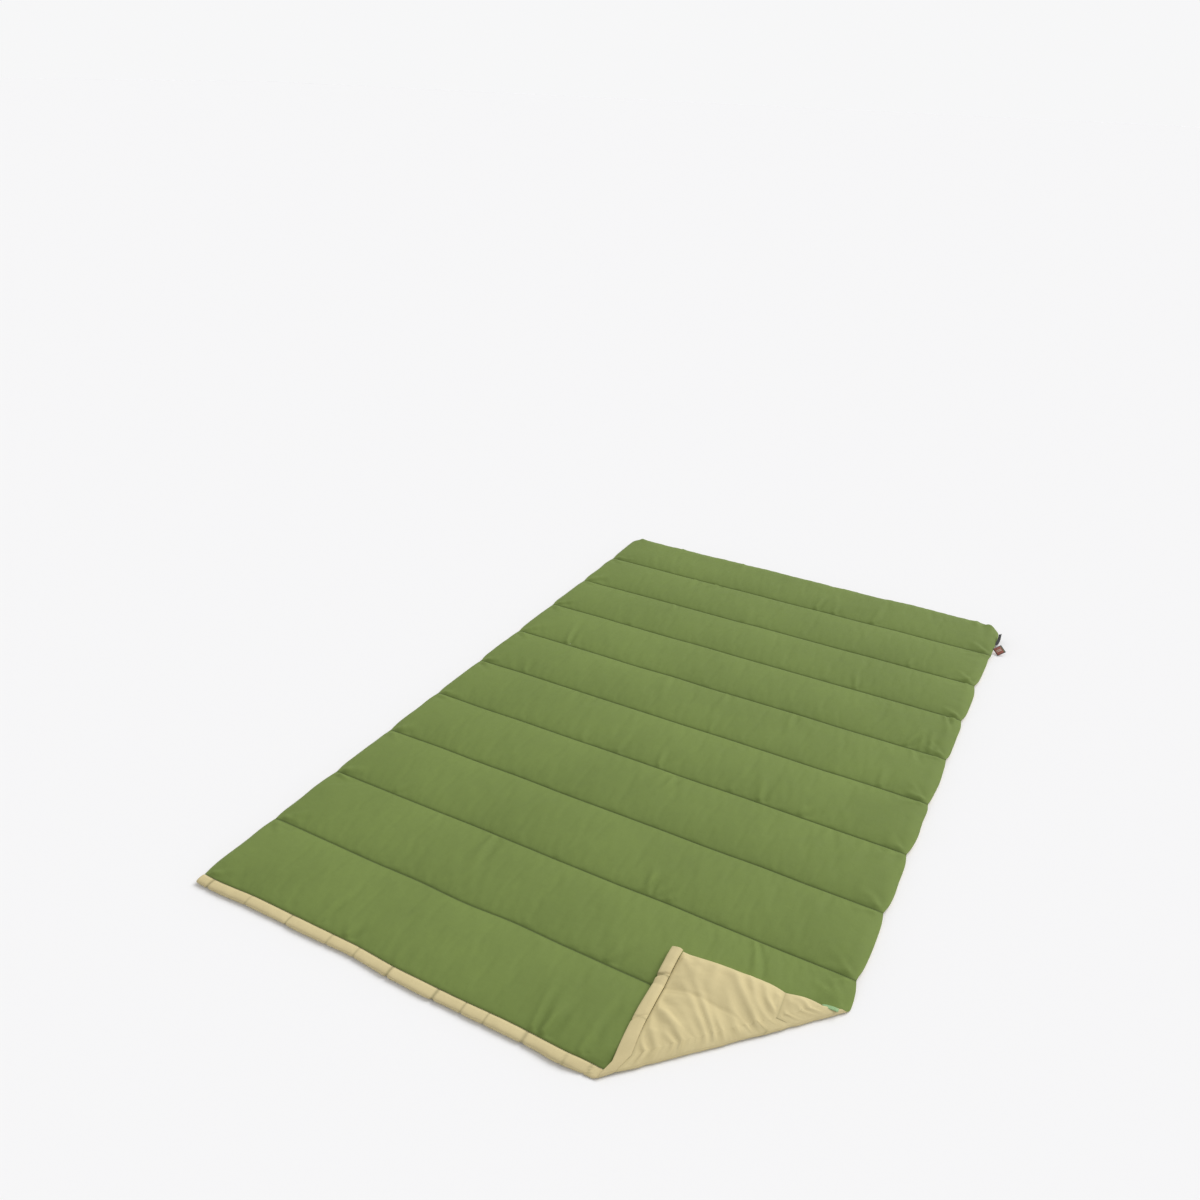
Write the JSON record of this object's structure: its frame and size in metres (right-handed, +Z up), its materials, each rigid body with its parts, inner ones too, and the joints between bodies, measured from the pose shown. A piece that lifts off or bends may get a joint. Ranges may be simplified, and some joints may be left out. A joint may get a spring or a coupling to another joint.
{
  "type": "camp quilt",
  "caption": "Padded outdoor quilt sewn into crosswise channels, green over tan, with an edging roll along the foot and one foot corner turned back.",
  "frame": {"origin": "on the ground plane, at the middle of the underside of the sixth channel from the foot, on the lengthwise centre line", "axes": "+X to the quilt's right seen from above with the foot nearest, +Y from the foot to the head, +Z up out of the green top"},
  "size_m": [1.3092, 2.0298, 0.0443],
  "materials": {
    "shell_green": "matte",
    "lining_tan": "matte",
    "binding_tan": "matte",
    "wadding_white": "matte",
    "thread_green": "matte",
    "thread_tan": "matte",
    "tape_black": "matte",
    "label_woven": "matte",
    "tab_pale_green": "matte"
  },
  "bodies": {
    "foot_panel": {"foot_shell": "shell_green", "foot_lining": "lining_tan", "foot_wadding": "wadding_white", "foot_seam_thread": "thread_green", "foot_binding": "binding_tan", "foot_binding_wadding": "wadding_white", "foot_binding_thread": "thread_tan"},
    "corner_flap": {"corner_shell": "shell_green", "corner_lining": "lining_tan", "corner_wadding": "wadding_white", "corner_seam_thread": "thread_green", "corner_binding": "binding_tan", "corner_binding_wadding": "wadding_white", "corner_binding_thread": "thread_tan", "side_tab": "tab_pale_green"},
    "channel_3": {"shell_3": "shell_green", "lining_3": "lining_tan", "wadding_3": "wadding_white", "seam_thread_2": "thread_green"},
    "channel_4": {"shell_4": "shell_green", "lining_4": "lining_tan", "wadding_4": "wadding_white", "seam_thread_3": "thread_green"},
    "channel_5": {"shell_5": "shell_green", "lining_5": "lining_tan", "wadding_5": "wadding_white", "seam_thread_4": "thread_green"},
    "channel_6": {"shell_6": "shell_green", "lining_6": "lining_tan", "wadding_6": "wadding_white", "seam_thread_5": "thread_green"},
    "channel_7": {"shell_7": "shell_green", "lining_7": "lining_tan", "wadding_7": "wadding_white", "seam_thread_6": "thread_green"},
    "channel_8": {"shell_8": "shell_green", "lining_8": "lining_tan", "wadding_8": "wadding_white", "seam_thread_7": "thread_green"},
    "channel_9": {"shell_9": "shell_green", "lining_9": "lining_tan", "wadding_9": "wadding_white", "seam_thread_8": "thread_green"},
    "channel_10": {"shell_10": "shell_green", "lining_10": "lining_tan", "wadding_10": "wadding_white", "seam_thread_9": "thread_green"},
    "loop_tape": {"hang_loop": "tape_black"},
    "label_flap": {"side_label": "label_woven"}
  },
  "joints": [
    {"name": "corner_fold", "type": "hinge", "parent": "foot_panel", "child": "corner_flap", "pos_m": [0.315, -1.12775, 0.02215], "axis": [0.6886, 0.7252, 0], "range_deg": [0, 180]},
    {"name": "seam_2_fold", "type": "hinge", "parent": "foot_panel", "child": "channel_3", "pos_m": [0, -0.70175, 0.009], "axis": [1, 0, 0], "range_deg": [-130, 130]},
    {"name": "seam_3_fold", "type": "hinge", "parent": "channel_3", "child": "channel_4", "pos_m": [0, -0.50125, 0.009], "axis": [-1, 0, 0], "range_deg": [-130, 130]},
    {"name": "seam_4_fold", "type": "hinge", "parent": "channel_4", "child": "channel_5", "pos_m": [0, -0.30075, 0.009], "axis": [1, 0, 0], "range_deg": [-130, 130]},
    {"name": "seam_5_fold", "type": "hinge", "parent": "channel_5", "child": "channel_6", "pos_m": [0, -0.10025, 0.009], "axis": [-1, 0, 0], "range_deg": [-130, 130]},
    {"name": "seam_6_fold", "type": "hinge", "parent": "channel_6", "child": "channel_7", "pos_m": [0, 0.10025, 0.009], "axis": [1, 0, 0], "range_deg": [-130, 130]},
    {"name": "seam_7_fold", "type": "hinge", "parent": "channel_7", "child": "channel_8", "pos_m": [0, 0.30075, 0.009], "axis": [-1, 0, 0], "range_deg": [-130, 130]},
    {"name": "seam_8_fold", "type": "hinge", "parent": "channel_8", "child": "channel_9", "pos_m": [0, 0.50125, 0.009], "axis": [1, 0, 0], "range_deg": [-130, 130]},
    {"name": "seam_9_fold", "type": "hinge", "parent": "channel_9", "child": "channel_10", "pos_m": [0, 0.70175, 0.009], "axis": [-1, 0, 0], "range_deg": [-130, 130]},
    {"name": "hang_loop_swing", "type": "hinge", "parent": "channel_10", "child": "loop_tape", "pos_m": [0.642, 0.77525, 0.009], "axis": [0, 0, -1], "range_deg": [0, 75]},
    {"name": "label_flop", "type": "hinge", "parent": "channel_10", "child": "label_flap", "pos_m": [0.6353, 0.74175, 0.012], "axis": [0, -1, 0], "range_deg": [0, 90]}
  ]
}
